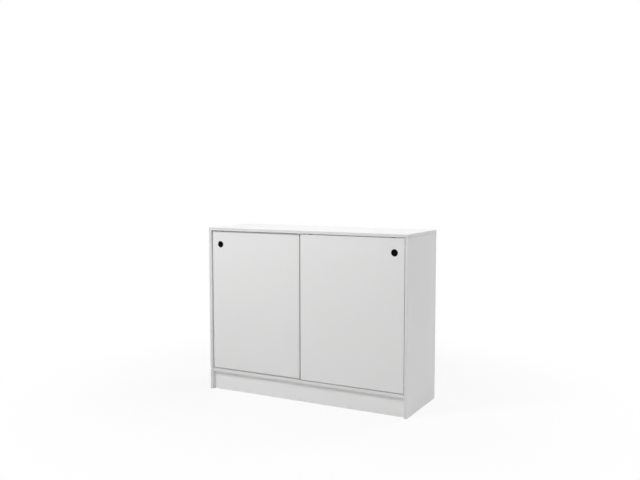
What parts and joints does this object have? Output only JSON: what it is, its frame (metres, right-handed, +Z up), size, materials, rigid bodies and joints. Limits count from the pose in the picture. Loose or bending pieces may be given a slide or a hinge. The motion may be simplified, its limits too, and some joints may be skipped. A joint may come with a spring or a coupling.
{
  "type": "sliding door cabinet",
  "caption": "Low white office cabinet with a recessed plinth, two thin doors that slide past each other on rollers, round black finger pulls and an adjustable shelf in each bay.",
  "frame": {"origin": "bottom centre of the cabinet's box, on the floor", "axes": "+X to the viewer's right, +Y to the back, +Z up; the doors face -Y"},
  "size_m": [1.2, 0.415, 0.925],
  "materials": {
    "white_board": "white melamine faced board, fine satin",
    "white_sheet": "white painted hardboard, matt",
    "track_plastic": "white extruded plastic, satin",
    "edge_strip": "black soft plastic, matt",
    "finger_pull": "black moulded plastic, satin",
    "nylon": "natural nylon",
    "guide_plastic": "dark grey moulded plastic, satin",
    "wheel_nylon": "natural nylon, smooth",
    "pad_rubber": "pale soft rubber",
    "steel": "zinc plated steel",
    "cam": "die-cast zinc"
  },
  "bodies": {
    "carcass": {"top_panel": "white_board", "base_panel": "white_board", "centre_partition": "white_board", "front_kick_board": "white_board", "rear_kick_board": "white_board", "left_side_panel": "white_board", "right_side_panel": "white_board", "left_shelf": "white_board", "right_shelf": "white_board", "left_back_sheet": "white_sheet", "left_top_cam_front": "cam", "left_top_bolt_front": "steel", "left_shelf_pin_front_outer": "steel", "left_shelf_pin_front_inner": "steel", "left_top_cam_rear": "cam", "left_top_bolt_rear": "steel", "left_shelf_pin_rear_outer": "steel", "left_shelf_pin_rear_inner": "steel", "left_lower_closing_pad": "pad_rubber", "left_upper_closing_pad": "pad_rubber", "right_back_sheet": "white_sheet", "right_top_cam_front": "cam", "right_top_bolt_front": "steel", "right_shelf_pin_front_outer": "steel", "right_shelf_pin_front_inner": "steel", "right_top_cam_rear": "cam", "right_top_bolt_rear": "steel", "right_shelf_pin_rear_outer": "steel", "right_shelf_pin_rear_inner": "steel", "right_lower_closing_pad": "pad_rubber", "right_upper_closing_pad": "pad_rubber", "lower_track": "track_plastic", "upper_track": "track_plastic", "rear_door_stop": "guide_plastic"},
    "left_door": {"left_door_panel": "white_board", "left_door_edge_strip": "edge_strip", "left_finger_pull": "finger_pull", "left_outer_roller_casing": "nylon", "left_outer_roller_axle": "steel", "left_outer_top_guide": "guide_plastic", "left_inner_roller_casing": "nylon", "left_inner_roller_axle": "steel", "left_inner_top_guide": "guide_plastic"},
    "right_door": {"right_door_panel": "white_board", "right_door_edge_strip": "edge_strip", "right_finger_pull": "finger_pull", "right_outer_roller_casing": "nylon", "right_outer_roller_axle": "steel", "right_outer_top_guide": "guide_plastic", "right_inner_roller_casing": "nylon", "right_inner_roller_axle": "steel", "right_inner_top_guide": "guide_plastic"},
    "left_outer_wheel": {"left_outer_roller_wheel": "wheel_nylon"},
    "left_inner_wheel": {"left_inner_roller_wheel": "wheel_nylon"},
    "right_outer_wheel": {"right_outer_roller_wheel": "wheel_nylon"},
    "right_inner_wheel": {"right_inner_roller_wheel": "wheel_nylon"}
  },
  "joints": [
    {"name": "left_door_slide", "type": "slide", "parent": "carcass", "child": "left_door", "axis": [1, 0, 0], "range_m": [0, 0.49]},
    {"name": "right_door_slide", "type": "slide", "parent": "carcass", "child": "right_door", "axis": [1, 0, 0], "range_m": [-0.5682, 0]},
    {"name": "left_outer_wheel_spin", "type": "hinge", "parent": "left_door", "child": "left_outer_wheel", "pos_m": [-0.52, -0.1911, 0.1293], "axis": [0, 1, 0], "continuous": true},
    {"name": "left_inner_wheel_spin", "type": "hinge", "parent": "left_door", "child": "left_inner_wheel", "pos_m": [-0.0514, -0.1911, 0.1293], "axis": [0, 1, 0], "continuous": true},
    {"name": "right_outer_wheel_spin", "type": "hinge", "parent": "right_door", "child": "right_outer_wheel", "pos_m": [0.52, -0.2011, 0.1293], "axis": [0, 1, 0], "continuous": true},
    {"name": "right_inner_wheel_spin", "type": "hinge", "parent": "right_door", "child": "right_inner_wheel", "pos_m": [0.0514, -0.2011, 0.1293], "axis": [0, 1, 0], "continuous": true}
  ],
  "couplings": [
    {"joint": "left_outer_wheel_spin", "follows": "left_door_slide", "rad_per_m": 111.11},
    {"joint": "left_inner_wheel_spin", "follows": "left_door_slide", "rad_per_m": 111.11},
    {"joint": "right_outer_wheel_spin", "follows": "right_door_slide", "rad_per_m": 111.11},
    {"joint": "right_inner_wheel_spin", "follows": "right_door_slide", "rad_per_m": 111.11}
  ]
}
